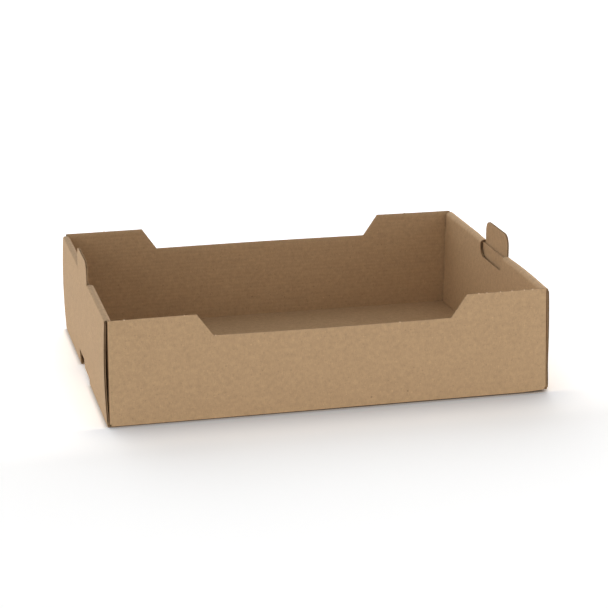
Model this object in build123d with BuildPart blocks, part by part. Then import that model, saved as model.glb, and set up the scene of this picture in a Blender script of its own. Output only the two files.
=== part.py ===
from build123d import *
import os

# A stacking tray folded from one die-cut sheet of corrugated kraft board.
# Millimetres. X runs along the tray, Y from front to back, Z up, and the origin is
# the middle of the underside.

# Footprint and heights of the folded tray
tray_length = 400.0
tray_depth = 300.0
long_wall_height = 97.2
end_wall_height = 95.8

# The board and how it bends at a crease
board = 1.8
bend_outside = 1.6
bend_inside = 0.3
layer_gap = 0.2

# Low openings in the front and back walls
cutout_top = 242.0
cutout_bottom = 213.0
cutout_drop = 20.5
cutout_corner = 1.5

# The walls spring a little out of flat
long_wall_bow = 4.0
end_wall_bulge = 1.5
corner_lean = 0.9

# Double end walls: outer panel, narrow top and inner panel
end_top_width = 6.9
inner_foot_in = 8.8
outer_panel_inset = 0.5
inner_panel_clearance = 0.8

# Corner flaps, held inside the end walls, where they meet in the middle
flap_meeting_gap = 0.6

# Stacking tab on each end wall, and the slot that takes the tab of the tray below
tab_width = 64.0
tab_height = 20.0
tab_corner = 10.0
tab_clearance = 1.0
pocket_margin = 5.0
slot_low_height = 6.5
slot_high_height = 15.5
slot_corner = 2.5
slot_depth = 6.0

# Tongues on the inner panel's foot, and the slits in the base that they lock into
lock_width = 40.0
lock_spacing = 170.0
lock_clearance = 0.4

# Places worked out from the sizes above
half_length = tray_length / 2
half_depth = tray_depth / 2
panel_foot = max(bend_outside, board + bend_inside) + layer_gap
wall_end = half_length - board - layer_gap
inner_half_depth = half_depth - board - inner_panel_clearance
outer_half_depth = half_depth - outer_panel_inset
flap_top = end_wall_height - board - layer_gap
slot_width = tab_width + 2 * tab_clearance
pocket_half_width = slot_width / 2 + pocket_margin
pocket_top = tab_height + tab_clearance
flap_nose = -flap_meeting_gap / 2
fold_depth = half_depth - board - bend_inside
end_wall_thickness = max(end_top_width, inner_foot_in)
overcut = board


def wall_plan(level, end_x, bow):
    """Plan of one long wall and its two corner flaps, at one height."""
    with BuildSketch(Plane.XY.offset(level)) as plan:
        with BuildLine():
            outer = half_depth
            inner = half_depth - board
            arc_out = end_x - bend_outside
            outside = Spline(
                (-arc_out, -outer), (0, -outer - bow), (arc_out, -outer),
                tangents=((1, 0), (1, 0)),
            )
            right_fold = RadiusArc(outside @ 1, (end_x, -outer + bend_outside), -bend_outside)
            right_skin = Line(right_fold @ 1, (end_x, flap_nose))
            right_edge = Line(right_skin @ 1, (end_x - board, flap_nose))
            arc_in = end_x - board - bend_inside
            right_back = Line(right_edge @ 1, (end_x - board, -inner + bend_inside))
            right_crease = RadiusArc(right_back @ 1, (arc_in, -inner), bend_inside)
            inside = Spline(
                right_crease @ 1, (0, -inner - bow), (-arc_in, -inner),
                tangents=((-1, 0), (-1, 0)),
            )
            left_crease = RadiusArc(inside @ 1, (-end_x + board, -inner + bend_inside), bend_inside)
            left_back = Line(left_crease @ 1, (-end_x + board, flap_nose))
            left_edge = Line(left_back @ 1, (-end_x, flap_nose))
            left_skin = Line(left_edge @ 1, (-end_x, -outer + bend_outside))
            RadiusArc(left_skin @ 1, outside @ 0, -bend_outside)
        make_face()
    return plan.sketch


def long_wall():
    """Front wall with its corner flaps, from its crease on the base to its top edge."""
    with BuildPart() as wall:
        # Crease between the base and the wall
        with BuildSketch(Plane.YZ) as crease:
            with BuildLine():
                FilletPolyline(
                    (-half_depth + panel_foot, 0), (-half_depth, 0), (-half_depth, panel_foot),
                    radius=bend_outside,
                )
                Line((-half_depth, panel_foot), (-half_depth + board, panel_foot))
                FilletPolyline(
                    (-half_depth + board, panel_foot), (-half_depth + board, board),
                    (-half_depth + panel_foot, board), radius=bend_inside,
                )
                Line((-half_depth + panel_foot, board), (-half_depth + panel_foot, 0))
            make_face()
        extrude(amount=wall_end - bend_outside, both=True)
        # Wall and flaps in one piece, straight at the crease and bowed at the top edge
        loft([
            wall_plan(panel_foot, wall_end, 0.0).face(),
            wall_plan(long_wall_height, wall_end - corner_lean, long_wall_bow).face(),
        ], ruled=True)
        # Low opening along the middle of the wall
        with BuildSketch(Plane.XZ) as cutout:
            with BuildLine():
                low = long_wall_height - cutout_drop
                Polyline(
                    (-cutout_top / 2, long_wall_height), (-cutout_bottom / 2, low),
                    (cutout_bottom / 2, low), (cutout_top / 2, long_wall_height),
                    (cutout_top / 2, long_wall_height + cutout_drop),
                    (-cutout_top / 2, long_wall_height + cutout_drop),
                    close=True,
                )
            make_face()
            fillet(cutout.vertices().group_by(Axis.Y)[0], radius=cutout_corner)
        extrude(amount=tray_depth, mode=Mode.SUBTRACT)
        # The flaps stop under the narrow top, and their noses clear the tab pocket at the foot
        with BuildSketch(Plane.YZ):
            with BuildLine():
                past_nose = flap_nose + overcut
                past_top = long_wall_height + overcut
                Polyline(
                    (-fold_depth, flap_top), (past_nose, flap_top),
                    (past_nose, past_top), (-fold_depth, past_top),
                    close=True,
                )
            make_face()
            with BuildLine():
                Polyline(
                    (-pocket_half_width - pocket_top, panel_foot),
                    (-pocket_half_width, panel_foot + pocket_top),
                    (past_nose, panel_foot + pocket_top), (past_nose, panel_foot),
                    close=True,
                )
            make_face()
        extrude(amount=tray_length, both=True, mode=Mode.SUBTRACT)
    return wall.part


def end_wall():
    """Double end wall at the +X end: outer panel, top, inner panel, tab and slots."""
    crease_x = half_length
    inner_top_x = crease_x - end_top_width
    inner_foot_x = crease_x - inner_foot_in
    top_fold = end_wall_height - board - bend_inside
    with BuildPart() as wall:
        # Section through the outer panel, from its crease on the base up
        with BuildSketch(Plane.XZ) as outer_section:
            with BuildLine():
                Line((crease_x - panel_foot, 0), (crease_x - bend_outside, 0))
                RadiusArc((crease_x - bend_outside, 0), (crease_x, bend_outside), -bend_outside)
                ThreePointArc(
                    (crease_x, bend_outside),
                    (crease_x + end_wall_bulge, end_wall_height / 2),
                    (crease_x, top_fold),
                )
                Line((crease_x, top_fold), (crease_x - board, top_fold))
                ThreePointArc(
                    (crease_x - board, top_fold),
                    (crease_x - board + end_wall_bulge, end_wall_height / 2),
                    (crease_x - board, board + bend_inside),
                )
                RadiusArc(
                    (crease_x - board, board + bend_inside),
                    (crease_x - board - bend_inside, board), bend_inside,
                )
                Line((crease_x - board - bend_inside, board), (crease_x - panel_foot, board))
                Line((crease_x - panel_foot, board), (crease_x - panel_foot, 0))
            make_face()
        extrude(amount=outer_half_depth, both=True)
        # Section over the top and down the inner panel to its foot
        with BuildSketch(Plane.XZ) as inner_section:
            with BuildLine():
                skin = FilletPolyline(
                    (crease_x, top_fold), (crease_x, end_wall_height),
                    (inner_top_x, end_wall_height), (inner_foot_x, panel_foot),
                    radius=bend_outside,
                )
                Line(skin @ 1, (inner_foot_x + board, panel_foot))
                back = FilletPolyline(
                    (inner_foot_x + board, panel_foot),
                    (inner_top_x + board, end_wall_height - board),
                    (crease_x - board - bend_inside, end_wall_height - board),
                    radius=bend_inside,
                )
                RadiusArc(back @ 1, (crease_x - board, top_fold), bend_inside)
                Line((crease_x - board, top_fold), (crease_x, top_fold))
            make_face()
        extrude(amount=inner_half_depth, both=True)
        # Void left by the tab, through the top and into the inner panel
        with BuildSketch(Plane.YZ.offset(crease_x - board)) as void:
            void_low = end_wall_height - tab_height + end_top_width
            void_high = end_wall_height + overcut
            with Locations((0, (void_low + void_high) / 2)):
                Rectangle(slot_width, void_high - void_low)
            fillet(void.vertices().group_by(Axis.Y)[0], radius=tab_corner)
        extrude(amount=-end_wall_thickness, mode=Mode.SUBTRACT)
        # The top crease is cut through over the width of the void
        with BuildSketch(Plane.YZ.offset(crease_x - board)) as crown:
            crown_low = end_wall_height - bend_outside
            with Locations((0, (crown_low + void_high) / 2)):
                Rectangle(slot_width, void_high - crown_low)
        extrude(amount=board + overcut, mode=Mode.SUBTRACT)
        # The tab stands on in the plane of the outer panel
        with BuildSketch(Plane.YZ.offset(crease_x - board)) as tab:
            with Locations((0, (top_fold + end_wall_height + tab_height) / 2)):
                Rectangle(tab_width, end_wall_height + tab_height - top_fold)
            fillet(tab.vertices().group_by(Axis.Y)[-1], radius=tab_corner)
        extrude(amount=board)
        # Slot in the outer panel, tall at the back half and low at the front half
        with BuildSketch(Plane.YZ.offset(crease_x - slot_depth)) as slot:
            with BuildLine():
                Polyline(
                    (-slot_width / 2, -overcut), (-slot_width / 2, slot_low_height),
                    (0, slot_low_height), (0, slot_high_height),
                    (slot_width / 2, slot_high_height), (slot_width / 2, -overcut),
                    close=True,
                )
            make_face()
            corners = slot.vertices().group_by(Axis.Y)
            fillet(corners[-1] + corners[1].sort_by(Axis.X)[0:1], radius=slot_corner)
        extrude(amount=slot_depth + end_wall_bulge + overcut, mode=Mode.SUBTRACT)
        # Tongues on the foot of the inner panel
        with BuildSketch(Plane.YZ.offset(inner_foot_x)) as tongues:
            with GridLocations(lock_spacing, 1, 2, 1):
                with Locations((0, panel_foot / 2 + layer_gap / 2)):
                    Rectangle(lock_width, panel_foot - layer_gap)
        extrude(amount=board)
    return wall.part


with BuildPart() as tray:
    # Base panel, slotted for the tab below and slit for the inner panels' tongues
    with BuildSketch():
        Rectangle(tray_length - 2 * panel_foot, tray_depth - 2 * panel_foot)
        for end in (-1, 1):
            slot_x = end * (half_length - slot_depth / 2)
            with Locations((slot_x, 0)):
                Rectangle(slot_depth, slot_width, mode=Mode.SUBTRACT)
            slit_x = end * (half_length - inner_foot_in + board / 2)
            with Locations((slit_x, 0)):
                with GridLocations(1, lock_spacing, 1, 2):
                    Rectangle(
                        board + 2 * lock_clearance, lock_width + 2 * lock_clearance,
                        mode=Mode.SUBTRACT,
                    )
    extrude(amount=board)
    # Long walls with the corner flaps
    front_wall = long_wall()
    add(front_wall)
    mirror(front_wall, about=Plane.XZ)
    # Double end walls
    plus_end = end_wall()
    add(plus_end)
    mirror(plus_end, about=Plane.YZ)

tray.part.label = "tray"
os.makedirs("parts", exist_ok=True)
export_step(tray.part, "parts/tray.step")
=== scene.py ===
# %% [markdown]
# # A stacking tray folded from one sheet of corrugated board
# The real tray is one die-cut sheet: two kraft liners with a wavy fluting between them. A die
# cuts and creases the sheet flat, and a person folds it. This scene does the same. The flat
# sheet, called the blank, is cut as a mesh, Geometry Nodes make it corrugated, and one
# function folds it onto the CAD solid, which stays hidden behind it for the physics.

# %% Load the CAD frame
import math

import bpy
import numpy as np
from mathutils import Matrix, Vector


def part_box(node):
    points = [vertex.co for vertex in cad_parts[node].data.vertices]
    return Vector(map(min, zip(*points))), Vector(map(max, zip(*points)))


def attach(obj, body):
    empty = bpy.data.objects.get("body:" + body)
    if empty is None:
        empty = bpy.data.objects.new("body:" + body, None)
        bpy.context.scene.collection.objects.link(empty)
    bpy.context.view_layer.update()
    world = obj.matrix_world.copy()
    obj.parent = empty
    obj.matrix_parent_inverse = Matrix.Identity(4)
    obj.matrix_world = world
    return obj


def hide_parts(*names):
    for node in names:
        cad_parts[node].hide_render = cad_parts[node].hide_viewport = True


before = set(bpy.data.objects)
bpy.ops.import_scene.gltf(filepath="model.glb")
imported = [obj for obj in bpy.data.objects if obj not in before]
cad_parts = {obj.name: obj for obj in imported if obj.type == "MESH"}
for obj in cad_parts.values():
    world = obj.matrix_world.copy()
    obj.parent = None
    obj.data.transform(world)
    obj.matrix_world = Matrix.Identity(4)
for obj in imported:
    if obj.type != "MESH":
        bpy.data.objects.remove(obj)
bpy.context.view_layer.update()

tray_low, tray_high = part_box("tray")
print("the CAD tray spans", [round(1000 * (b - a), 2) for a, b in zip(tray_low, tray_high)], "mm")

# %% [markdown]
# ## The camera
# The tray was photographed from the front and a little from the left, with a long lens from
# two metres away, so its edges stay nearly parallel. A camera in Blender looks along its own
# -Z axis. Its matrix is built from three directions, which is clearer than three Euler angles:
# where it looks, what is to its right, and what is up.

# %% Camera
IMAGE_PIXELS = 608
FOCAL_PIXELS = 2042.9
SENSOR_MM = 36.0
FARTHEST_SEEN = 100.0
camera_place = Vector((-0.40849, -1.80308, 0.59806))
turned, tipped, rolled = math.radians(13.031), math.radians(16.395), math.radians(-0.307)
ahead = Vector((
    math.sin(turned) * math.cos(tipped), math.cos(turned) * math.cos(tipped), -math.sin(tipped),
))
level_right = Vector((math.cos(turned), -math.sin(turned), 0.0))
level_up = level_right.cross(ahead)
camera_right = level_right * math.cos(rolled) + level_up * math.sin(rolled)
camera_up = level_up * math.cos(rolled) - level_right * math.sin(rolled)


def in_scene(name, data):
    """Object of the data, linked into the scene."""
    thing = bpy.data.objects.new(name, data)
    bpy.context.scene.collection.objects.link(thing)
    return thing


camera_data = bpy.data.cameras.new("camera")
camera_data.sensor_fit = "HORIZONTAL"
camera_data.sensor_width = SENSOR_MM
camera_data.lens = SENSOR_MM * FOCAL_PIXELS / IMAGE_PIXELS
camera_data.clip_end = FARTHEST_SEEN
camera = in_scene("camera", camera_data)
camera.matrix_world = Matrix.Translation(camera_place) @ Matrix(
    (camera_right, camera_up, -ahead)
).transposed().to_4x4()
bpy.context.scene.camera = camera
print("lens", round(camera_data.lens, 2), "mm")

# %% [markdown]
# ## The sizes of the board and of the blank
# Everything about the sheet is in millimetres, as a carton maker writes it, until the folded
# mesh is made in metres. On the blank, u runs along the tray and v across it, both from the
# middle of the base. Each run of the sheet has its own length: base, crease, panel, crease,
# narrow top, crease, inner panel, tongue. A crease takes up a little length of its own.

# %% Sizes of the board, the folds and the panels
BOARD = 1.8
LINER = 0.28
MEDIUM = 0.2
FLUTE_PITCH = 3.65
BEND_OUT, BEND_IN = 1.6, 0.3
DOWN_BEND_OUT, DOWN_BEND_IN = 3.5, 1.7
CREASE = 2.4

HALF_LENGTH, HALF_DEPTH = 200.0, 150.0
FOOT, TONGUE_FOOT = 2.3, 0.2
WALL_TOP, END_TOP, TAB_TOP = 97.2, 95.8, 115.8
PANEL_TOP, INNER_RUN = 93.7, 91.9
WALL_END, CORNER_LEAN = 198.0, 0.9
WALL_BOW, END_BULGE = 4.0, 1.5
TOP_WIDTH, FOOT_IN = 6.9, 8.8

BASE_U, BASE_V = 197.7, 147.7
WALL_U = WALL_END - BEND_OUT
FLAP_U = WALL_U + CREASE
FLAP_NOSE = 0.05
WALL_V = BASE_V + CREASE
END_V, INNER_V = 149.5, 147.4

# Where each run of an end strip starts, counted along the blank
panel_u = BASE_U + CREASE
top_crease_u = panel_u + PANEL_TOP - BEND_OUT
top_u = top_crease_u + CREASE
down_crease_u = top_u + TOP_WIDTH - 2 * BEND_OUT
inner_u = down_crease_u + CREASE
tongue_u = inner_u + INNER_RUN
strip_end_u = tongue_u + FOOT - TONGUE_FOOT
blank_length, blank_width = 2 * strip_end_u, 2 * (WALL_V + WALL_TOP - FOOT)
print("the blank measures", round(blank_length), "x", round(blank_width), "mm")

# %% [markdown]
# ## The outline that the die cuts
# The outline is drawn for one quarter and mirrored, because a symmetric blank is how a die is
# drawn too. Corners with a radius are turned into short straight runs. The holes come next:
# round each tab, the stacking slots at the end creases, and the slits for the tongues.

# %% Rounded corners
ARC_STEPS = 6


def rounded(corners):
    """Closed outline through (u, v, radius) corners."""
    outline = []
    for number, (u, v, radius) in enumerate(corners):
        here = np.array((u, v), float)
        if radius == 0:
            outline.append(here)
            continue
        back = np.array(corners[number - 1][:2]) - here
        on = np.array(corners[(number + 1) % len(corners)][:2]) - here
        back, on = back / np.linalg.norm(back), on / np.linalg.norm(on)
        half = math.acos(np.clip(back @ on, -1, 1)) / 2
        middle = here + (back + on) / np.linalg.norm(back + on) * radius / math.sin(half)
        first = here + back * radius / math.tan(half) - middle
        last = here + on * radius / math.tan(half) - middle
        turn = math.pi - 2 * half
        for step in range(ARC_STEPS + 1):
            t = step / ARC_STEPS
            outline.append(
                middle + (math.sin((1 - t) * turn) * first + math.sin(t * turn) * last)
                / math.sin(turn)
            )
    return np.array(outline)


# %% The outline of the blank
CUTOUT_FLOOR, CUTOUT_LOW_HALF, CUTOUT_TOP_HALF = 76.7, 106.5, 121.0
FLAP_START_Y, FLAP_TOP = 147.9, 93.8
POCKET_TOP, POCKET_NEAR, POCKET_FAR = 23.3, 38.0, 59.0
TONGUE_MIDDLE, TONGUE_HALF = 85.0, 20.0


def wall_v(z):
    """Place on the blank of a height on the long wall."""
    return WALL_V + z - FOOT


def flap_u(y):
    """Place on the blank of a distance from the middle on a corner flap."""
    return FLAP_U + HALF_DEPTH - BEND_OUT - y


quarter = [
    (CUTOUT_LOW_HALF, wall_v(CUTOUT_FLOOR), 1.5), (CUTOUT_TOP_HALF, wall_v(WALL_TOP), 0.6),
    (flap_u(FLAP_START_Y), wall_v(WALL_TOP), 0.8), (flap_u(FLAP_START_Y), wall_v(FLAP_TOP), 0),
    (flap_u(FLAP_NOSE), wall_v(FLAP_TOP), 2.0), (flap_u(FLAP_NOSE), wall_v(POCKET_TOP), 0),
    (flap_u(POCKET_NEAR), wall_v(POCKET_TOP), 0), (flap_u(POCKET_FAR), WALL_V, 0),
    (WALL_U, WALL_V, 0), (WALL_U, BASE_V, 0), (BASE_U, BASE_V, 0), (BASE_U, END_V, 0),
    (top_crease_u, END_V, 0), (top_crease_u, INNER_V, 0), (tongue_u, INNER_V, 0.8),
    (tongue_u, TONGUE_MIDDLE + TONGUE_HALF, 0), (strip_end_u, TONGUE_MIDDLE + TONGUE_HALF, 0.8),
    (strip_end_u, TONGUE_MIDDLE - TONGUE_HALF, 0.8), (tongue_u, TONGUE_MIDDLE - TONGUE_HALF, 0),
]
right_half = quarter + [(u, -v, r) for u, v, r in reversed(quarter)]
whole = right_half + [(-u, v, r) for u, v, r in reversed(right_half)]
outlines = [rounded(whole)]
print("the outer outline has", len(outlines[0]), "points")

# %% Tabs, stacking slots and slits
TAB_HALF, VOID_HALF, TAB_CORNER = 32.0, 33.5, 10.0
VOID_FLOOR = 82.7
TAB_ON_BLANK = 19.6
SLOT_HALF, SLOT_START, SLOT_LOW, SLOT_TALL, SLOT_CORNER = 33.0, 194.0, 6.5, 15.5, 2.5
SLIT_NEAR, SLIT_FAR, SLIT_HALF = 190.8, 193.4, 20.4

tab_end_u = top_crease_u + TAB_ON_BLANK
tab_stretch = (TAB_TOP - PANEL_TOP) / TAB_ON_BLANK
void_end_u = inner_u + END_TOP - BEND_OUT - VOID_FLOOR
slot_low_u, slot_tall_u = (panel_u + z - BEND_OUT for z in (SLOT_LOW, SLOT_TALL))

tab_raised = rounded([
    (PANEL_TOP, -TAB_HALF, 0), (TAB_TOP, -TAB_HALF, TAB_CORNER),
    (TAB_TOP, TAB_HALF, TAB_CORNER), (PANEL_TOP, TAB_HALF, 0),
])
tab_cut = tab_raised * (1 / tab_stretch, 1) + (top_crease_u - PANEL_TOP / tab_stretch, 0)
void_cut = rounded([
    (top_crease_u, VOID_HALF, 0), (void_end_u, VOID_HALF, TAB_CORNER),
    (void_end_u, -VOID_HALF, TAB_CORNER), (top_crease_u, -VOID_HALF, 0),
])
slot_cut = rounded([
    (SLOT_START, -SLOT_HALF, 0), (slot_low_u, -SLOT_HALF, SLOT_CORNER), (slot_low_u, 0, 0),
    (slot_tall_u, 0, SLOT_CORNER), (slot_tall_u, SLOT_HALF, SLOT_CORNER),
    (SLOT_START, SLOT_HALF, 0),
])
for side in (1, -1):
    outlines.append(np.vstack((void_cut, tab_cut)) * (side, 1))
    outlines.append(slot_cut * (side, 1))
    for middle in (-TONGUE_MIDDLE, TONGUE_MIDDLE):
        near, far = middle - SLIT_HALF, middle + SLIT_HALF
        outlines.append(side * np.array([
            (SLIT_NEAR, near), (SLIT_FAR, near), (SLIT_FAR, far), (SLIT_NEAR, far),
        ]))
print("the die cuts", len(outlines) - 1, "holes and slits")

# %% [markdown]
# ## From an outline to a mesh that can bend
# A mesh bends only where it has edges, so a plain filled polygon won't fold. Here the blank is
# laid out like a piece of weaving: straight lines across it at chosen v, and points along each
# line at chosen u. Two neighbouring lines are then zipped together with faces. The lines pass
# through every corner of the outline, so the cut edges stay exact.

# %% Weave the blank
SAME = 1e-4  # two places nearer than this, in millimetres, count as one
SLACK = 0.01


def steps(start, stop, count):
    """Even steps from start to stop, both included."""
    return list(np.linspace(start, stop, count + 1))


def spans(low, high):
    """Runs of board between two lines: (u start and stop on the low line, then on the high)."""
    middle = (low + high) / 2
    cuts = []
    for outline in outlines:
        a, b = outline, np.roll(outline, -1, 0)
        hit = (a[:, 1] < middle) != (b[:, 1] < middle)
        a, b = a[hit], b[hit]
        slope = (b[:, 0] - a[:, 0]) / (b[:, 1] - a[:, 1])
        for u, v, s in zip(a[:, 0], a[:, 1], slope):
            cuts.append((u + s * (middle - v), u + s * (low - v), u + s * (high - v)))
    cuts.sort()
    return [(cuts[i][1:], cuts[i + 1][1:]) for i in range(0, len(cuts), 2)]


def weave(lines, base_marks, wall_marks, margins=()):
    """Flat mesh of the blank, as points (u, v) and faces that look up."""
    corners = np.round(np.vstack(outlines), 6)
    lines = sorted(set(np.round(lines, 6)) | set(corners[:, 1]))
    lines = [v for v in lines if corners[:, 1].min() <= v <= corners[:, 1].max()]
    places, faces = {}, []

    def row(start, stop, v):
        inside = list(corners[corners[:, 1] == v, 0])
        inside += base_marks if abs(v) < END_V + SLACK else []
        inside += wall_marks if abs(v) > BASE_V - SLACK else []
        inside += [place for gap in margins for place in (start + gap, stop - gap)]
        inside = [u for u in inside if start + SAME < u < stop - SAME]
        us = np.unique(np.round([start, stop] + inside, 5))
        return [(u, places.setdefault((u, v), len(places))) for u in us]

    for low, high in zip(lines, lines[1:]):
        for starts, stops in spans(low, high):
            below = row(starts[0], stops[0], low)
            above = row(starts[1], stops[1], high)
            i = j = 0
            while i < len(below) - 1 or j < len(above) - 1:
                more_below, more_above = i < len(below) - 1, j < len(above) - 1
                if more_below and more_above and abs(below[i + 1][0] - above[j + 1][0]) < SAME:
                    faces.append((below[i][1], below[i + 1][1], above[j + 1][1], above[j][1]))
                    i, j = i + 1, j + 1
                elif more_below and (not more_above or below[i + 1][0] < above[j + 1][0]):
                    faces.append((below[i][1], below[i + 1][1], above[j][1]))
                    i += 1
                else:
                    faces.append((below[i][1], above[j + 1][1], above[j][1]))
                    j += 1
    return list(places), faces


# %% The flat mesh of a liner
CREASE_STEPS, PANEL_STEPS, INNER_STEPS = 8, 8, 3
WALL_STEPS, BASE_LINES, WALL_LINES = 20, 20, 10
CRUSH_MARGINS = (0.9, 1.8)


def both_ways(places):
    """The places and their mirror images."""
    return places + [-place for place in places]


def crease_marks(count):
    """Marks across the three creases of an end strip."""
    starts = (BASE_U, top_crease_u, down_crease_u)
    return [u for start in starts for u in steps(start, start + CREASE, count)]


liner_base = both_ways(
    crease_marks(CREASE_STEPS) + steps(panel_u, top_crease_u, PANEL_STEPS)
    + steps(inner_u, tongue_u, INNER_STEPS) + [WALL_U])
liner_wall = both_ways(steps(0, WALL_U, WALL_STEPS) + steps(WALL_U, FLAP_U, CREASE_STEPS))
edge_v = wall_v(WALL_TOP)
crease_lines = both_ways(steps(BASE_V, WALL_V, CREASE_STEPS))
cut_lines = both_ways([
    cut - gap for cut in (END_V, INNER_V, TAB_HALF, edge_v, wall_v(CUTOUT_FLOOR))
    for gap in CRUSH_MARGINS])
cut_lines += both_ways([VOID_HALF + gap for gap in CRUSH_MARGINS])
liner_lines = steps(-BASE_V, BASE_V, BASE_LINES) + both_ways(steps(WALL_V, edge_v, WALL_LINES))
flat_points, flat_faces = weave(
    liner_lines + crease_lines + cut_lines, liner_base, liner_wall, CRUSH_MARGINS)
print("the liner's flat mesh has", len(flat_points), "points and", len(flat_faces), "faces")

# %% [markdown]
# ## Folding
# Every point of the sheet has a place on the blank and a depth through the board. The fold
# works out where the outer skin and the inner skin go, and mixes the two by depth. On a crease
# the outer skin turns round a wide radius and the inner skin round a tight one. Because the
# sheet never leaves this one rule, the layers of the folded end wall can't drift apart.

# %% Bends and straight runs
def bend(s, corner, arrive, leave, radius, lead_in=0.0, lead_out=0.0):
    """Points round a crease, for s from 0 to 1: straight in, round the corner, straight out."""
    corner, arrive, leave = (np.array(p, float) for p in (corner, arrive, leave))
    arc = radius * math.pi / 2
    along = s[:, None] * (lead_in + arc + lead_out)
    before = np.clip(lead_in - along, 0, None)
    turn = np.clip((along - lead_in) / radius, 0, math.pi / 2)
    after = np.clip(along - lead_in - arc, 0, None)
    return (
        corner - arrive * (radius * (1 - np.sin(turn)) + before)
        + leave * (radius * (1 - np.cos(turn)) + after)
    )


def straight(s, start, stop):
    """Points on a straight run, for s from 0 to 1."""
    start, stop = np.array(start, float), np.array(stop, float)
    return start + s[:, None] * (stop - start)


# %% Where an end strip and a long wall go
NOSE_EASE = 0.8


def end_section(u, on_tab, skin):
    """x and z of points on an end strip, on the outer (0) or the inner (1) skin."""
    depth, radius = skin * BOARD, (BEND_OUT, BEND_IN)[skin]
    soft = (DOWN_BEND_OUT, DOWN_BEND_IN)[skin]
    crease_x, high = HALF_LENGTH - depth, END_TOP - depth
    fold_x = HALF_LENGTH - TOP_WIDTH + depth
    foot = np.array((HALF_LENGTH - FOOT_IN + depth, FOOT))
    down = foot - (fold_x, high)
    down /= np.linalg.norm(down)
    panel_low = depth + radius

    def outer_panel(s):
        z = panel_low + s * (PANEL_TOP - panel_low)
        return np.column_stack((crease_x + END_BULGE * (1 - (2 * s - 1) ** 2), z))

    runs = [
        (BASE_U, panel_u, lambda s: bend(
            s, (crease_x, depth), (1, 0), (0, 1), radius, crease_x - radius - BASE_U)),
        (panel_u, top_crease_u, outer_panel),
        (top_crease_u, top_u, lambda s: bend(
            s, (crease_x, high), (0, 1), (-1, 0), radius, high - radius - PANEL_TOP)),
        (top_u, down_crease_u, lambda s: straight(
            s, (crease_x - radius, high), (fold_x + soft, high))),
        (down_crease_u, inner_u, lambda s: bend(s, (fold_x, high), (-1, 0), down, soft)),
        (inner_u, tongue_u, lambda s: straight(s, (fold_x, high) + down * soft, foot)),
        (tongue_u, strip_end_u, lambda s: straight(s, foot, (foot[0], TONGUE_FOOT))),
    ]
    placed = np.zeros((len(u), 2))
    for start, stop, run in runs:
        here = (u > start - SAME) & ~on_tab
        placed[here] = run(np.clip((u[here] - start) / (stop - start), 0, 1))
    raised = PANEL_TOP + (u[on_tab] - top_crease_u) * tab_stretch
    placed[on_tab] = np.column_stack((np.full(len(raised), crease_x), raised))
    return placed


def wall_section(u, v, skin):
    """x, y and z of points on a long wall, its crease and its flaps, on one skin."""
    depth, radius = skin * BOARD, (BEND_OUT, BEND_IN)[skin]
    side_y, narrowing = HALF_DEPTH - depth, depth + radius - BEND_OUT
    placed = np.zeros((len(u), 3))
    s = np.clip((v - BASE_V) / CREASE, 0, 1)
    lead_out = FOOT - depth - radius
    placed[:, 1:] = bend(
        s, (side_y, depth), (1, 0), (0, 1), radius, side_y - radius - BASE_V, lead_out)
    placed[:, 0] = u - narrowing * s * u / WALL_U
    up = v > WALL_V - SAME
    z = FOOT + v - WALL_V
    rise = np.clip((z - FOOT) / (WALL_TOP - FOOT), 0, 1)
    end_x = WALL_END - CORNER_LEAN * rise - depth
    wall = up & (u <= WALL_U + SAME)
    a = np.clip(u[wall] / WALL_U, 0, 1)
    t = 1 - a
    bow = WALL_BOW * rise[wall] * (3 * t ** 2 - 2 * t ** 3)
    placed[wall] = np.column_stack((a * (end_x[wall] - radius), side_y + bow, z[wall]))
    corner = up & (u > WALL_U + SAME) & (u < FLAP_U)
    turned = bend((u[corner] - WALL_U) / CREASE, (0, side_y), (1, 0), (0, -1), radius)
    placed[corner] = np.column_stack((turned[:, 0] + end_x[corner], turned[:, 1], z[corner]))
    flap = up & (u >= FLAP_U)
    reach = (u[flap] - FLAP_U) / (flap_u(FLAP_NOSE) - FLAP_U)
    start_y = side_y - radius
    y = start_y + reach * (FLAP_NOSE - start_y)
    flap_x = end_x[flap] + NOSE_EASE * CORNER_LEAN * rise[flap] * reach
    placed[flap] = np.column_stack((flap_x, y, z[flap]))
    return placed


# %% [markdown]
# ## Out of true
# A real tray isn't as true as its drawing. Folding has moved this one a little: its right end
# is tucked in at the front, one shoulder sags, and the front foot stands clear of the floor.
# Each departure is a shift in millimetres, with the ranges of place over which it eases in or
# out, so none of them leaves a step in the sheet. The die also crushes the board thinner along
# every cut.

# %% Settle
PANEL_TUCK, PANEL_FLAT, CORNER_TUCK, TUCK_POWER = 1.5, 0.6, 1.2, 4
TUCK_DEPTHS, TUCK_HEIGHTS = (90, HALF_DEPTH), (0, 30)
SHOULDER_SAG, SHOULDER_START, SHOULDER_RUN = 0.8, 100, (110, 200)
RIGHT_RISE, RISE_HEIGHTS, RISE_DEPTHS = 0.65, (60, END_TOP), (VOID_HALF, 70)
EDGE_FORWARD, FORWARD_DEPTHS = 1.3, (125, INNER_V)
EDGE_INWARD, INWARD_DEPTHS = 0.6, (90, INNER_V)
INNER_PANEL_X = HALF_LENGTH - BOARD - 2
CUT_SHIFT, CUT_HEIGHTS = (1.1, -1.0), (20, 70)
CUT_STARTS, CUT_STOPS = (50, 106), (122, 165)
NEAR_WALL = 140
FOOT_LIFT, PANEL_LIFT, LIFT_HEIGHTS = 1.2, 1.6, (0, 24)
LIFT_PLACES, LIFT_DEPTHS = (178, WALL_END), (122, HALF_DEPTH)
FRONT_LIFT_LEFT, FRONT_LIFT_RIGHT, FRONT_DEPTHS = 0.4, 1.0, (128, HALF_DEPTH)


def ease(value, start, stop):
    """Soft step from 0 at start to 1 at stop."""
    t = np.clip((value - start) / (stop - start), 0, 1)
    return t * t * (3 - 2 * t)


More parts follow.
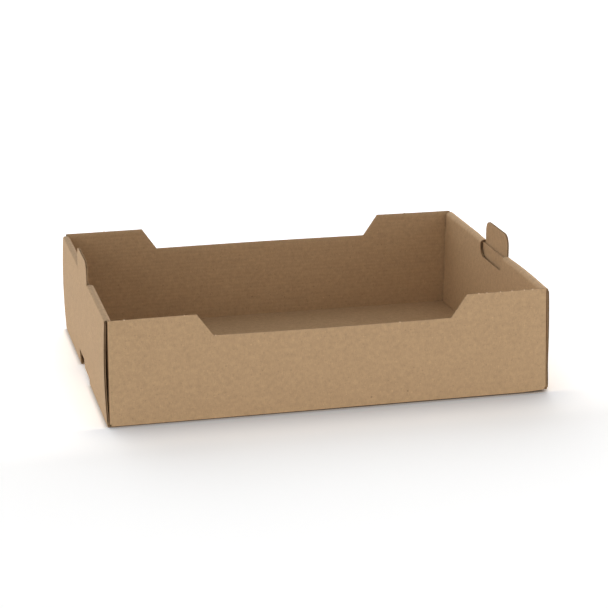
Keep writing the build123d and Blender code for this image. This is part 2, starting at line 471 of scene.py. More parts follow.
def settle(placed, at_end):
    """Small ways in which the tray in the photo stands out of true."""
    x, y, z = placed.T.copy()
    high = z / WALL_TOP
    near_front = ease(-y, *TUCK_DEPTHS)
    right_end = at_end & (x > 0)

    # The right end is tucked in at its front corner, and the wall with it
    bulged = 1 - (2 * np.clip(high, 0, 1) - 1) ** 2
    tucked = (PANEL_TUCK * ease(z, *TUCK_HEIGHTS) + PANEL_FLAT * bulged) * near_front
    placed[right_end, 0] -= tucked[right_end]
    right_wall = ~at_end & (x > 0)
    corner_tuck = CORNER_TUCK * high * near_front * (x / WALL_END) ** TUCK_POWER
    placed[right_wall, 0] -= corner_tuck[right_wall]

    # The front wall's left shoulder sags
    shoulder = ~at_end & (x < -SHOULDER_START) & (y < -NEAR_WALL) & (z > CUTOUT_FLOOR)
    up_shoulder = (z - CUTOUT_FLOOR) / (WALL_TOP - CUTOUT_FLOOR)
    placed[shoulder, 2] -= (SHOULDER_SAG * up_shoulder * (1 + ease(-x, *SHOULDER_RUN)))[shoulder]

    # The right end's top stands high beside its tab, and its inner panel's back edge leans in
    rise = RIGHT_RISE * ease(z, *RISE_HEIGHTS) * ease(np.abs(y), *RISE_DEPTHS)
    placed[right_end, 2] += rise[right_end]
    back_edge = right_end & (x < INNER_PANEL_X)
    placed[back_edge, 1] -= (EDGE_FORWARD * ease(y, *FORWARD_DEPTHS))[back_edge]
    placed[back_edge, 0] -= (EDGE_INWARD * ease(y, *INWARD_DEPTHS))[back_edge]

    # The front opening's right slant and the back one's left slant are cut further out
    for side, shift in zip((1, -1), CUT_SHIFT):
        slant = ~at_end & (side * x > 0) & (-side * y > NEAR_WALL)
        by_slant = ease(side * x, *CUT_STARTS) * (1 - ease(side * x, *CUT_STOPS))
        placed[slant, 0] += (shift * by_slant * ease(z, *CUT_HEIGHTS))[slant]

    # The right front corner and the front wall's foot stand clear of the floor
    at_foot = 1 - ease(z, *LIFT_HEIGHTS)
    corner = ease(x, *LIFT_PLACES) * ease(-y, *LIFT_DEPTHS) * at_foot
    placed[:, 2] += corner * (FOOT_LIFT + PANEL_LIFT * ease(x, WALL_END, HALF_LENGTH))
    to_right = ease(x, -HALF_LENGTH, HALF_LENGTH)
    placed[:, 2] += ease(-y, *FRONT_DEPTHS) * at_foot * (
        FRONT_LIFT_LEFT + (FRONT_LIFT_RIGHT - FRONT_LIFT_LEFT) * to_right)


# %% Crush
CRUSH, CRUSH_REACH = 0.34, 1.8
TAB_MARGIN, CREASE_MARGIN = 0.1, 1
NOSE_REACH = 20


def crush(points):
    """How much of its thickness the board keeps at each blank point, less along the cuts."""
    nearest = np.full(len(points), np.inf)
    for outline in outlines:
        for a, b in zip(outline, np.roll(outline, -1, 0)):
            along = b - a
            t = np.clip((points[:, :2] - a) @ along / (along @ along), 0, 1)
            gap = points[:, :2] - a - t[:, None] * along
            nearest = np.minimum(nearest, (gap ** 2).sum(1))
    crushed = CRUSH * (1 - ease(np.sqrt(nearest), 0, CRUSH_REACH))
    # The tab and the flaps' noses keep their full thickness
    u, v = np.abs(points[:, 0]), np.abs(points[:, 1])
    along_tab = (u > top_crease_u - CREASE_MARGIN) & (u < tab_end_u + TAB_MARGIN)
    crushed[along_tab & (v < TAB_HALF + TAB_MARGIN)] = 0
    crushed[(v > BASE_V) & (u > flap_u(NOSE_REACH))] = 0
    return 1 - crushed


# %% Fold the sheet
TAB_EDGE_SLACK = 1.04


def fold(points):
    """Places on the folded tray of blank points (u, v, depth), all in millimetres."""
    u, v = np.abs(points[:, 0]), np.abs(points[:, 1])
    through = points[:, 2:] / BOARD * crush(points)[:, None]
    placed = np.column_stack((u, v, points[:, 2]))
    at_end = (u > BASE_U - SAME) & (v < END_V + SLACK)
    corner_u = TAB_CORNER / tab_stretch
    along = np.clip(u - tab_end_u + corner_u, 0, None) / corner_u
    across = np.clip(v - TAB_HALF + TAB_CORNER, 0, None) / TAB_CORNER
    on_tab = (u > top_crease_u + SAME) & (along ** 2 + across ** 2 < TAB_EDGE_SLACK)
    skins = [end_section(u[at_end], on_tab[at_end], skin) for skin in (0, 1)]
    mix = through[at_end]
    placed[at_end, 0], placed[at_end, 2] = ((1 - mix) * skins[0] + mix * skins[1]).T
    at_wall = (v > BASE_V) & ~at_end
    mix = through[at_wall]
    skins = [wall_section(u[at_wall], v[at_wall], skin) for skin in (0, 1)]
    placed[at_wall] = (1 - mix) * skins[0] + mix * skins[1]
    placed[:, 0] *= np.sign(points[:, 0])
    placed[:, 1] *= np.sign(points[:, 1])
    settle(placed, at_end)
    return placed


wall_edge, tab_end = fold(np.array([(0.0, edge_v, 0.0), (tab_end_u, 0.0, 0.0)])).round(2)
print("the wall's edge folds to", wall_edge, "and the tab to", tab_end)

# %% [markdown]
# ## Kraft paper
# Kraft board gets its look from its fibres: short streaks, darker and paler specks, a few
# larger flecks, and a slow mottle where the pulp is thicker. The flutes show through the liner
# as faint ribs in relief, with painted shade along them, and painted shade and painted
# highlights lie along the creases and cuts. The effects are node groups, so that the liners
# and the darker fluting can share them. They read the blank's own UV map, in which the sheet
# is flat, so the grain runs on across every fold.

# %% Node helpers
def feed(tree, socket, value):
    """Link a socket to another one, or give it a plain value."""
    if isinstance(value, bpy.types.NodeSocket):
        tree.links.new(value, socket)
    else:
        socket.default_value = value


def new_node(tree, kind, **inputs):
    """Node fed with sockets or plain values. An underscore in a label stands for a space."""
    node = tree.nodes.new(kind)
    for label, value in inputs.items():
        feed(tree, node.inputs[label.replace("_", " ")], value)
    return node


def operation_node(tree, kind, operation, *values):
    """Output of a math or vector math node, fed with sockets or plain values."""
    node = tree.nodes.new(kind)
    node.operation = operation
    for place, value in enumerate(values):
        feed(tree, node.inputs[place], value)
    return node.outputs[0]


def math_node(tree, operation, *values):
    """Output of a math node."""
    return operation_node(tree, "ShaderNodeMath", operation, *values)


def stretched(tree, vector, amounts):
    """The vector scaled by a different amount on each axis."""
    return operation_node(tree, "ShaderNodeVectorMath", "MULTIPLY", vector, amounts)


def scaled(tree, vector, amount):
    """The vector or colour scaled by one number."""
    node = tree.nodes.new("ShaderNodeVectorMath")
    node.operation = "SCALE"
    feed(tree, node.inputs[0], vector)
    feed(tree, node.inputs["Scale"], amount)
    return node.outputs[0]


def axes(tree, vector):
    """The X, Y and Z of a vector, as sockets."""
    return new_node(tree, "ShaderNodeSeparateXYZ", Vector=vector).outputs


def map_range(tree, value, start, stop, low=0.0, high=1.0, kind="LINEAR"):
    """The value mapped from start and stop to low and high, and held beyond them."""
    node = new_node(
        tree, "ShaderNodeMapRange", Value=value, From_Min=start, From_Max=stop,
        To_Min=low, To_Max=high)
    node.interpolation_type = kind
    return node.outputs["Result"]


def noise(tree, vector, scale, detail=2.0):
    """Noise texture on a vector, as a value near 0.5."""
    node = new_node(tree, "ShaderNodeTexNoise", Vector=vector, Scale=scale, Detail=detail)
    return node.outputs["Fac"]


def group(name, inputs, output_labels):
    """Shader node group with inputs (label, kind, value) and outputs of plain numbers."""
    tree = bpy.data.node_groups.new(name, "ShaderNodeTree")
    for label, kind, value in inputs:
        socket = tree.interface.new_socket(label, in_out="INPUT", socket_type=kind)
        if value is not None:
            socket.default_value = value
    for label in output_labels:
        tree.interface.new_socket(label, in_out="OUTPUT", socket_type="NodeSocketFloat")
    return tree, tree.nodes.new("NodeGroupInput"), tree.nodes.new("NodeGroupOutput")


# %% Kraft fibres
FLOAT, VECTOR = "NodeSocketFloat", "NodeSocketVector"
MIDDLE_NOISE, SLOW_SHARE = 0.5, 0.35
SLOW_SCALE, CLOUD_SCALE, GRAIN_SCALE = 45.0, 230.0, 1600.0
SPECK_SCALE, FLECK_SCALE = 620.0, 330.0
STREAK_STRETCH = (1500.0, 260.0, 1.0)
DARK_UNDER, PALE_OVER, SPECK_GAIN = 0.36, 0.66, 3.0
FLECK_UNDER, FLECK_GAIN = 0.2, 4.5
fibres, fibres_in, fibres_out = group(
    "kraft fibres",
    [("Blank", VECTOR, None), ("Mottle", FLOAT, 0.1), ("Fibre", FLOAT, 0.1), ("Specks", FLOAT, 0.2)],
    ("Shade", "Height"),
)


def centred(value):
    """A noise value of the fibres about 0."""
    return math_node(fibres, "SUBTRACT", value, MIDDLE_NOISE)


def spots(more, less, gain):
    """How much more exceeds less, as marks of a strength set by the gain."""
    over = math_node(fibres, "MAXIMUM", math_node(fibres, "SUBTRACT", more, less), 0.0)
    return math_node(fibres, "MULTIPLY", over, gain)


blank_vector = fibres_in.outputs["Blank"]
slow = noise(fibres, blank_vector, SLOW_SCALE, 3.0)
cloud = noise(fibres, blank_vector, CLOUD_SCALE)
streak = noise(fibres, stretched(fibres, blank_vector, STREAK_STRETCH), 1.0)
grain = noise(fibres, blank_vector, GRAIN_SCALE)
speck_noise = noise(fibres, blank_vector, SPECK_SCALE, 1.0)
fleck_noise = noise(fibres, blank_vector, FLECK_SCALE, 0.0)
dark_spots = math_node(
    fibres, "ADD", spots(DARK_UNDER, speck_noise, SPECK_GAIN),
    spots(FLECK_UNDER, fleck_noise, FLECK_GAIN))
pale_spots = spots(speck_noise, PALE_OVER, SPECK_GAIN)
mottled = math_node(
    fibres, "MULTIPLY",
    math_node(fibres, "MULTIPLY_ADD", centred(slow), SLOW_SHARE, centred(cloud)),
    fibres_in.outputs["Mottle"])
streaked = math_node(
    fibres, "MULTIPLY", math_node(fibres, "ADD", centred(streak), centred(grain)),
    fibres_in.outputs["Fibre"])
specked = math_node(
    fibres, "MULTIPLY", math_node(fibres, "SUBTRACT", pale_spots, dark_spots),
    fibres_in.outputs["Specks"])
shade = math_node(fibres, "ADD", math_node(fibres, "ADD", mottled, streaked), specked)
fibres.links.new(math_node(fibres, "ADD", shade, 1.0), fibres_out.inputs["Shade"])
fibres.links.new(math_node(fibres, "ADD", streak, grain), fibres_out.inputs["Height"])
print("the fibres group has", len(fibres.nodes), "nodes")

# %% Flute ribs
# The ribs show on the base and the back wall, and not on the ends or the front wall.
MM = 0.001  # one millimetre in metres
PATCH_STRETCH = (9.0, 60.0, 1.0)
ribs, ribs_in, ribs_out = group(
    "flute ribs", [("Blank", VECTOR, None), ("Pitch", FLOAT, MM * FLUTE_PITCH)], ("Height",))
along_u, along_v = axes(ribs, ribs_in.outputs["Blank"])[:2]
turns = math_node(ribs, "DIVIDE", along_v, ribs_in.outputs["Pitch"])
wave = math_node(ribs, "SINE", math_node(ribs, "MULTIPLY", turns, 2 * math.pi))
patchy = noise(ribs, stretched(ribs, ribs_in.outputs["Blank"], PATCH_STRETCH), 1.0)
off_ends = math_node(ribs, "LESS_THAN", math_node(ribs, "ABSOLUTE", along_u), MM * WALL_U)
off_front = math_node(ribs, "GREATER_THAN", along_v, -MM * BASE_V)
wave = math_node(ribs, "MULTIPLY", wave, math_node(ribs, "MULTIPLY", off_ends, off_front))
ribs.links.new(math_node(ribs, "MULTIPLY", wave, patchy), ribs_out.inputs["Height"])

# %% Painted light and shade along the creases and cuts
# Tones of painted shade (below 0) and painted highlights (above 0) along the creases and cuts
STRIP_PAINTED_SHADE, OUTER_CREASE_PAINTED_SHADE, INNER_FOLD_PAINTED_HIGHLIGHT = -0.15, -0.07, 0.07
CORNER_FOLD_PAINTED_HIGHLIGHT, CREST_PAINTED_HIGHLIGHT, CUT_EDGE_PAINTED_SHADE = 0.07, 0.25, -0.42
painted_light, painted_light_in, painted_light_out = group("painted light and shade marks", [("Blank", VECTOR, None)], ("Tone",))


def soft_line(value, centre, half_width, soft):
    """1 near the centre, falling softly to 0 at half the width."""
    away = math_node(painted_light, "ABSOLUTE", math_node(painted_light, "SUBTRACT", value, centre))
    return map_range(painted_light, away, half_width - soft, half_width, 1.0, 0.0, "SMOOTHSTEP")


along_u, along_v = axes(painted_light, painted_light_in.outputs["Blank"])[:2]
mark_u = math_node(painted_light, "ABSOLUTE", along_u)
mark_v = math_node(painted_light, "ABSOLUTE", along_v)
on_left = math_node(painted_light, "LESS_THAN", along_u, 0.0)
on_right = math_node(painted_light, "SUBTRACT", 1.0, on_left)
beside_tab = math_node(painted_light, "GREATER_THAN", mark_v, MM * VOID_HALF)
left_top = math_node(painted_light, "MULTIPLY", beside_tab, on_left)
right_top = math_node(painted_light, "MULTIPLY", beside_tab, on_right)
on_panel = math_node(painted_light, "GREATER_THAN", mark_u, MM * (panel_u + 2))
on_wall = math_node(painted_light, "GREATER_THAN", mark_v, MM * WALL_V)
strip_from, strip_to = MM * (top_crease_u + 0.9), MM * (down_crease_u + 0.6)
strip_middle, strip_half = 0.5 * (strip_from + strip_to), 0.5 * (strip_to - strip_from)
corner_middle = MM * (WALL_U + 0.5 * CREASE)

# Each mark of painted shade (tone below 0) or painted highlight (tone above 0): its middle,
# half width and softness in metres, its tone, and where it shows
marks = [
    # painted shade over the left end's top strip, and deeper along its outer crease
    (strip_middle, strip_half, 0.0008, STRIP_PAINTED_SHADE, left_top),
    (strip_from + 0.0003, 0.0009, 0.0009, OUTER_CREASE_PAINTED_SHADE, left_top),
    # painted highlights along the left strip's inner fold, the wall corners' folds and the right
    # end's crest
    (strip_to + 0.0010, 0.0010, 0.0008, INNER_FOLD_PAINTED_HIGHLIGHT, left_top),
    (corner_middle, 0.0012, 0.0012, CORNER_FOLD_PAINTED_HIGHLIGHT, on_wall),
    (MM * (top_crease_u + 2.7), 0.0033, 0.0012, CREST_PAINTED_HIGHLIGHT, right_top),
]
# Painted shade along the end panels' cut edges
painted_cut_shade = soft_line(mark_v, MM * END_V, 0.0005, 0.0003)
painted_light_tone = math_node(
    painted_light, "MULTIPLY", math_node(painted_light, "MULTIPLY", painted_cut_shade, on_panel), CUT_EDGE_PAINTED_SHADE)
for centre, half_width, soft, strength, where in marks:
    line = soft_line(mark_u, centre, half_width, soft)
    part = math_node(painted_light, "MULTIPLY", math_node(painted_light, "MULTIPLY", line, where), strength)
    painted_light_tone = math_node(painted_light, "ADD", part, painted_light_tone)
painted_light.links.new(painted_light_tone, painted_light_out.inputs["Tone"])
print("the painted light and shade marks are", len(marks), "along the creases and one along the cut")

# %% Kraft board
ROUGHNESS, SHEEN = 0.82, 0.25
TOOTH, TOOTH_DEPTH, RIB_RELIEF = 0.25, 0.0003, 0.5


def kraft(name, colour, mottle, fibre, specks, rib_painted_shade_strength):
    """Kraft paper: fibres, painted light and shade of flutes, creases and cuts, and a fine tooth."""
    material = bpy.data.materials.new(name)
    material.use_nodes = True
    tree = material.node_tree
    shader = tree.nodes["Principled BSDF"]
    shader.inputs["Roughness"].default_value = ROUGHNESS
    shader.inputs["Specular IOR Level"].default_value = SHEEN
    on_blank = tree.nodes.new("ShaderNodeUVMap")
    on_blank.uv_map = "blank"
    effects = []
    for effect in (fibres, ribs, painted_light):
        node = tree.nodes.new("ShaderNodeGroup")
        node.node_tree = effect
        tree.links.new(on_blank.outputs["UV"], node.inputs["Blank"])
        effects.append(node)
    grain_node, rib_node, painted_light_node = effects
    for label, value in (("Mottle", mottle), ("Fibre", fibre), ("Specks", specks)):
        grain_node.inputs[label].default_value = value
    rib_height, grain_height = rib_node.outputs["Height"], grain_node.outputs["Height"]
    # The flute ribs also darken and lighten the colour as painted shade; their relief is the bump
    # below
    rib_painted_shade = math_node(tree, "MULTIPLY", rib_height, rib_painted_shade_strength)
    tone = math_node(tree, "ADD", grain_node.outputs["Shade"], rib_painted_shade)
    tone = math_node(tree, "ADD", tone, painted_light_node.outputs["Tone"])
    tree.links.new(scaled(tree, colour, tone), shader.inputs["Base Color"])
    heights = math_node(
        tree, "ADD", grain_height, math_node(tree, "MULTIPLY", rib_height, RIB_RELIEF))
    relief = new_node(
        tree, "ShaderNodeBump", Strength=TOOTH, Distance=TOOTH_DEPTH, Height=heights)
    tree.links.new(relief.outputs["Normal"], shader.inputs["Normal"])
    return material


torn_material = kraft("torn fibres", (0.66, 0.48, 0.30), 0.1, 0.2, 0.2, 0.0)
liner_material = kraft("kraft liner", (0.474, 0.312, 0.172), 0.34, 0.27, 0.55, 0.035)
medium_material = kraft("fluting", (0.36, 0.235, 0.13), 0.16, 0.22, 0.35, 0.0)
print("materials:", liner_material.name, "and", medium_material.name)

# %% [markdown]
# ## From a flat sheet to corrugated board
# A layer of the board repeats one rule all over the sheet, so Geometry Nodes make it: lift
# the flat mesh to its height in the board, add a sine wave across the flutes, and extrude it
# to the thickness of the paper. The same tree makes the outer liner and the inner liner,
# with no wave, and the fluting, with the wave.

# %% Geometry Nodes for one layer of board
MERGE_WITHIN = 1e-7


def geometry_tree(name, inputs, output):
    """Geometry node tree with inputs (label, kind) and one output of geometry."""
    tree = bpy.data.node_groups.new(name, "GeometryNodeTree")
    for label, kind in inputs:
        tree.interface.new_socket(label, in_out="INPUT", socket_type="NodeSocket" + kind)
    tree.interface.new_socket(output, in_out="OUTPUT", socket_type="NodeSocketGeometry")
    return tree, tree.nodes.new("NodeGroupInput").outputs, tree.nodes.new("NodeGroupOutput").inputs


def real_and_coated(tree, geometry, material):
    """The geometry with its instances made real, and with its material."""
    real = new_node(tree, "GeometryNodeRealizeInstances", Geometry=geometry)
    coated = new_node(
        tree, "GeometryNodeSetMaterial", Geometry=real.outputs[0], Material=material)
    return coated.outputs[0]


layer_tree, given, made = geometry_tree("board layer", (
    ("Blank", "Geometry"), ("Height", "Float"), ("Thickness", "Float"), ("Wave height", "Float"),
    ("Flute pitch", "Float"), ("Material", "Material"),
), "Layer")
flat_place = layer_tree.nodes.new("GeometryNodeInputPosition").outputs[0]
turns = math_node(layer_tree, "DIVIDE", axes(layer_tree, flat_place)["Y"], given["Flute pitch"])
wave = math_node(layer_tree, "SINE", math_node(layer_tree, "MULTIPLY", turns, 2 * math.pi))
lift = math_node(layer_tree, "MULTIPLY_ADD", wave, given["Wave height"], given["Height"])
lifted = new_node(
    layer_tree, "GeometryNodeSetPosition", Geometry=given["Blank"],
    Offset=new_node(layer_tree, "ShaderNodeCombineXYZ", Z=lift).outputs[0],
)
upper = new_node(
    layer_tree, "GeometryNodeExtrudeMesh", Mesh=lifted.outputs[0],
    Offset=new_node(layer_tree, "ShaderNodeCombineXYZ", Z=1.0).outputs[0],
    Offset_Scale=given["Thickness"], Individual=False,
)
under = new_node(layer_tree, "GeometryNodeFlipFaces", Mesh=lifted.outputs[0])
joined = new_node(layer_tree, "GeometryNodeJoinGeometry", Geometry=upper.outputs["Mesh"])
layer_tree.links.new(under.outputs[0], joined.inputs[0])
closed = new_node(
    layer_tree, "GeometryNodeMergeByDistance", Geometry=joined.outputs[0], Distance=MERGE_WITHIN)
layer_tree.links.new(
    real_and_coated(layer_tree, closed.outputs[0], given["Material"]), made["Layer"])
print("the layer tree has", len(layer_tree.nodes), "nodes")


# %% Meshes that the trees make
def mesh_made(thing, tree, values):
    """Plain mesh that a geometry tree makes of an object, which is then removed."""
    modifier = thing.modifiers.new(tree.name, "NODES")
    modifier.node_group = tree
    for item in tree.interface.items_tree:
        if item.in_out == "INPUT" and item.name in values:
            modifier[item.identifier] = values[item.name]
    bpy.context.view_layer.update()
    mesh = bpy.data.meshes.new_from_object(
        thing.evaluated_get(bpy.context.evaluated_depsgraph_get()))
    bpy.data.objects.remove(thing)
    return mesh


def layer_mesh(points, faces, height, thickness, wave_height, material):
    """Plain mesh of one layer of the board, still flat, from sizes in millimetres."""
    flat = bpy.data.meshes.new("blank")
    flat.from_pydata([(MM * u, MM * v, 0.0) for u, v in points], [], faces)
    return mesh_made(in_scene("blank", flat), layer_tree, {
        "Height": MM * height, "Thickness": MM * thickness, "Wave height": MM * wave_height,
        "Flute pitch": MM * FLUTE_PITCH, "Material": material,
    })


# %% Fold the layers and make them pieces
MM_PER_METRE = 1000
SHARP_FROM = math.radians(35)


def folded(name, mesh):
    """Piece made by folding one flat layer, with the blank as its UV map."""
    places = np.zeros(3 * len(mesh.vertices))
    mesh.vertices.foreach_get("co", places)
    corner = np.zeros(len(mesh.loops), int)
    mesh.loops.foreach_get("vertex_index", corner)
    flat = places.reshape(-1, 3)
    uv_map = mesh.uv_layers.new(name="blank")
    uv_map.data.foreach_set("uv", flat[corner, :2].ravel())
    mesh.vertices.foreach_set("co", (MM * fold(MM_PER_METRE * flat)).ravel())
    mesh.name = name
    mesh.update()
    mesh.shade_smooth()
    mesh.set_sharp_from_angle(angle=SHARP_FROM)
    print(name, "has", sum(len(face.vertices) - 2 for face in mesh.polygons), "triangles")
    return in_scene(name, mesh)


outer_liner, inner_liner = (
    folded(name, layer_mesh(flat_points, flat_faces, height, LINER, 0.0, liner_material))
    for name, height in (("outer_liner", 0.0), ("inner_liner", BOARD - LINER))
)

# %% The fluting between the liners
STEPS_PER_FLUTE, FLUTE_LINES = 8, 540
WAVE_CREASE_STEPS, WAVE_WALL_STEPS = 4, 8
wave_height = (BOARD - 2 * LINER - MEDIUM) / 2
wave_base = both_ways(
    crease_marks(WAVE_CREASE_STEPS) + steps(panel_u, top_crease_u, WAVE_CREASE_STEPS))
wave_wall = both_ways(
    steps(0, WALL_U, WAVE_WALL_STEPS) + steps(WALL_U, FLAP_U, WAVE_CREASE_STEPS))
wave_lines = [n * FLUTE_PITCH / STEPS_PER_FLUTE for n in range(-FLUTE_LINES, FLUTE_LINES + 1)]
wave_points, wave_faces = weave(wave_lines + crease_lines + cut_lines, wave_base, wave_wall)
fluting = folded("fluting", layer_mesh(
    wave_points, wave_faces, BOARD / 2 - MEDIUM / 2, MEDIUM, wave_height, medium_material))

# %% [markdown]
# ## Nicks
# A die leaves tiny bridges, called nicks, so that the blank stays in the sheet until it is
# stripped. They tear off as small pale tufts along the cut. Geometry Nodes put one at each
# measured place, turned and sized at random from a fixed seed.

# %% Geometry Nodes for the nicks
NICK_ROUNDNESS = 2
SMALLEST, LARGEST = (0.8, 0.6, 0.7), (1.4, 0.8, 1.2)
TURN_BACK, TURN_ON = (0, -0.2, 0), (0, 0.2, 0)
nick_tree, given, made = geometry_tree("nicks", (
    ("Places", "Geometry"), ("Size", "Float"), ("Seed", "Int"), ("Material", "Material"),
), "Nicks")


def random_vector(low, high):
    """Random vector for each nick, between two vectors."""
    node = nick_tree.nodes.new("FunctionNodeRandomValue")
    node.data_type = "FLOAT_VECTOR"
    node.inputs[0].default_value, node.inputs[1].default_value = low, high
    nick_tree.links.new(given["Seed"], node.inputs["Seed"])
    return node.outputs[0]


tuft = new_node(
    nick_tree, "GeometryNodeMeshIcoSphere", Radius=given["Size"], Subdivisions=NICK_ROUNDNESS)
nick_scale = random_vector(SMALLEST, LARGEST)
nick_turn = random_vector(TURN_BACK, TURN_ON)
tufts = new_node(
    nick_tree, "GeometryNodeInstanceOnPoints", Points=given["Places"],
    Instance=tuft.outputs["Mesh"], Rotation=nick_turn, Scale=nick_scale)
nick_tree.links.new(
    real_and_coated(nick_tree, tufts.outputs[0], given["Material"]), made["Nicks"])

# %% Nicks along the cut edges
NICK_SIZE, NICK_SEED = 0.00075, 4
NICK_DEPTH = 0.3
FRONT_NICKS = (-183.9, -131.8, 132.2, 140.1, 153.6, 164.7, 176.5, 184.4)
CUTOUT_NICKS, BACK_NICKS = (-104.7, 60.0), (150.0, -160.0)
nick_rows = (
    (FRONT_NICKS, -edge_v), (CUTOUT_NICKS, -wall_v(CUTOUT_FLOOR)), (BACK_NICKS, edge_v))
nick_places = [(x, v, NICK_DEPTH * BOARD) for row, v in nick_rows for x in row]
nick_points = fold(np.array(nick_places)) * MM
point_mesh = bpy.data.meshes.new("nick places")
point_mesh.from_pydata([tuple(point) for point in nick_points], [], [])
nicks_mesh = mesh_made(in_scene("nick places", point_mesh), nick_tree, {
    "Size": NICK_SIZE, "Seed": NICK_SEED, "Material": torn_material,
})
nicks_mesh.name = "nicks"
nicks_mesh.uv_layers.new(name="blank")
nicks_mesh.shade_smooth()
nicks = in_scene("nicks", nicks_mesh)
print("the nicks have", len(nicks_mesh.polygons), "faces")

# %% [markdown]
# ## The floor
# The photo's floor is white, yet soft shadows lie close to the tray. So the camera, with glossy
# and transmission rays, sees a diffuse floor brighter than paper, which still takes the shadows.
# Ambient Occlusion nodes darken it in the thin gap under the board and, in a cooler tone, close
# in front of the front wall. All other rays meet a plain floor with a little glow, which is the
# one that lights the cardboard.

# %% Floor as the light meets it
REACH = 30.0
FLOOR_WHITE = 0.72
FLOOR_GLOW = 0.46
floor_mesh = bpy.data.meshes.new("floor")
floor_mesh.from_pydata(
    [(-REACH, -REACH, 0), (REACH, -REACH, 0), (REACH, REACH, 0), (-REACH, REACH, 0)],
    [], [(0, 1, 2, 3)])
floor = in_scene("floor", floor_mesh)
floor_material = bpy.data.materials.new("floor")
floor_material.use_nodes = True
floor_tree = floor_material.node_tree
floor_tree.nodes.remove(floor_tree.nodes["Principled BSDF"])
real_floor = new_node(floor_tree, "ShaderNodeBsdfDiffuse", Color=(*(FLOOR_WHITE,) * 3, 1))
glow = new_node(floor_tree, "ShaderNodeEmission", Strength=FLOOR_GLOW)
glowing_floor = floor_tree.nodes.new("ShaderNodeAddShader")
floor_tree.links.new(real_floor.outputs[0], glowing_floor.inputs[0])
floor_tree.links.new(glow.outputs[0], glowing_floor.inputs[1])

# %% Floor that the camera sees
# The seen floor is painted brighter beside the tray than in front, a painted light that washes out
# most of the shadow beside the tray
SEEN_IN_FRONT, SEEN_BESIDE = 1.26, 1.58
FRONT_Y, SIDE_Y = -0.22, -0.12
SHADE_FROM_Y, SHADE_GONE_Y = -0.152, -0.1495
CONTACT_REACH, CONTACT_POWER = 0.05, 0.72
GAP_REACH, GAP_POWER = 0.005, 1.0
LIT, COOL_SHADE = (1, 1, 1, 1), (0.84, 1.0, 1.2, 1)


def openness(reach):
    """How open the floor is to things nearer than the reach, 1 where nothing is near."""
    return new_node(floor_tree, "ShaderNodeAmbientOcclusion", Distance=reach).outputs["AO"]


def mixed(tree, share, first, second):
    """Colour between the first and the second."""
    node = new_node(tree, "ShaderNodeMixRGB", Fac=share, Color1=first, Color2=second)
    return node.outputs["Color"]


floor_y = axes(floor_tree, floor_tree.nodes.new("ShaderNodeTexCoord").outputs["Object"])["Y"]
white_painted_brighter_beside = map_range(floor_tree, floor_y, FRONT_Y, SIDE_Y, SEEN_IN_FRONT, SEEN_BESIDE)
in_front = map_range(floor_tree, floor_y, SHADE_FROM_Y, SHADE_GONE_Y, 1.0, 0.0)
near_shade = math_node(floor_tree, "POWER", openness(GAP_REACH), GAP_POWER)
front_open = openness(CONTACT_REACH)
front_power = math_node(floor_tree, "MULTIPLY", in_front, CONTACT_POWER)
front_shade = math_node(floor_tree, "POWER", front_open, front_power)
contact_shade = math_node(floor_tree, "MULTIPLY", near_shade, front_shade)
front_closed = math_node(floor_tree, "SUBTRACT", 1.0, front_open)
coolness = math_node(floor_tree, "MULTIPLY", in_front, front_closed)
seen_colour = scaled(
    floor_tree, mixed(floor_tree, coolness, LIT, COOL_SHADE),
    math_node(floor_tree, "MULTIPLY", white_painted_brighter_beside, contact_shade))
seen_floor = new_node(floor_tree, "ShaderNodeBsdfDiffuse", Color=seen_colour)

# %% Choose the floor by the ray
either = floor_tree.nodes.new("ShaderNodeMixShader")
path = floor_tree.nodes.new("ShaderNodeLightPath")
looked_at = path.outputs["Is Camera Ray"]
for kind in ("Is Glossy Ray", "Is Transmission Ray"):
    looked_at = math_node(floor_tree, "MAXIMUM", looked_at, path.outputs[kind])
floor_tree.links.new(looked_at, either.inputs["Fac"])
floor_tree.links.new(glowing_floor.outputs[0], either.inputs[1])
floor_tree.links.new(seen_floor.outputs[0], either.inputs[2])
floor_tree.links.new(either.outputs[0], floor_tree.nodes["Material Output"].inputs["Surface"])
floor_mesh.materials.append(floor_material)

# %% [markdown]
# ## The light
# The walls in the photo differ in brightness by direction, as under several large soft lamps.
# The sky stands for those lamps: four rings, from the skyline to the zenith, fitted to the
# brightness of the walls in the photo. One small lamp at the right brightens what faces it.

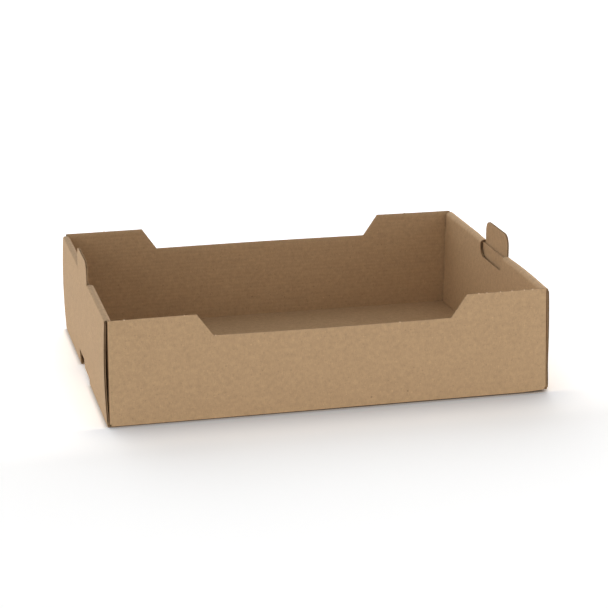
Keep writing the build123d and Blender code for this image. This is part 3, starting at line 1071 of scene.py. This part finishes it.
# %% Light from all round
# Each ring of sky is given by its brightness in eight directions, from +X round through +Y.
RINGS = {
    "skyline": (0.35, 1.2, 2.2, 0.72, 0.9, 1.13, 1.05, 0.0),
    "low sky": (0.35, 1.1, 3.1, 1.05, 1.4, 1.7, 1.2, 1.2),
    "high sky": (0.2, 0.5, 2.3, 0.75, 0.3, 0.0, 0.0, 0.1),
    "zenith": (0.87,) * 8,
}
DIRECTIONS = 8
RING_EDGES = (12, 30, 60)
EDGE_SOFTNESS = 0.06
BRIGHTEST = 5.0
world = bpy.data.worlds.new("studio")
bpy.context.scene.world = world
world.use_nodes = True
sky = world.node_tree
toward = axes(sky, sky.nodes.new("ShaderNodeTexCoord").outputs["Generated"])
round_angle = math_node(sky, "ARCTAN2", toward["Y"], toward["X"])
round_share = math_node(
    sky, "FRACT", math_node(sky, "MULTIPLY_ADD", round_angle, 1 / (2 * math.pi), 1.0))


def ring_light(levels):
    """Brightness of one ring of sky, as a share of the brightest."""
    ramp = new_node(sky, "ShaderNodeValToRGB", Fac=round_share)
    stops = ramp.color_ramp.elements
    for place in range(1, DIRECTIONS):
        stops.new(place / DIRECTIONS)
    for place, stop in enumerate(stops):
        stop.color = (*(levels[place % DIRECTIONS] / BRIGHTEST,) * 3, 1)
    return ramp.outputs["Color"]


ring_lights = [ring_light(levels) for levels in RINGS.values()]
brightness = ring_lights[0]
for edge, light in zip(RING_EDGES, ring_lights[1:]):
    height = math.sin(math.radians(edge))
    above = map_range(sky, toward["Z"], height - EDGE_SOFTNESS, height + EDGE_SOFTNESS)
    brightness = mixed(sky, above, brightness, light)
background = sky.nodes["Background"]
sky.links.new(brightness, background.inputs["Color"])
background.inputs["Strength"].default_value = BRIGHTEST
print("the sky has", len(ring_lights), "rings of", DIRECTIONS, "directions")

# %% Lamp at the right
LAMP_LENGTH, LAMP_WIDTH, LAMP_WATTS = 0.5, 0.4, 1.0
LAMP_PLACE, LAMP_TARGET = (0.85, -0.85, 0.22), (0.15, -0.15, 0.03)
lamp_data = bpy.data.lights.new("right lamp", "AREA")
lamp_data.shape = "RECTANGLE"
lamp_data.size, lamp_data.size_y = LAMP_LENGTH, LAMP_WIDTH
lamp_data.energy = LAMP_WATTS
lamp = in_scene("right lamp", lamp_data)
lamp.location = LAMP_PLACE
lamp_aim = Vector(LAMP_TARGET) - lamp.location
lamp.rotation_euler = lamp_aim.to_track_quat("-Z", "Y").to_euler()
lamp.visible_camera = False

# %% [markdown]
# ## Handing the pieces to the frame
# All four pieces ride on the tray's one body. The CAD node is hidden and stays for collision.

# %% Hand over
view_settings = bpy.context.scene.view_settings
view_settings.view_transform = "Standard"
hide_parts("tray")
for piece in (outer_liner, fluting, inner_liner, nicks):
    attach(piece, "root")
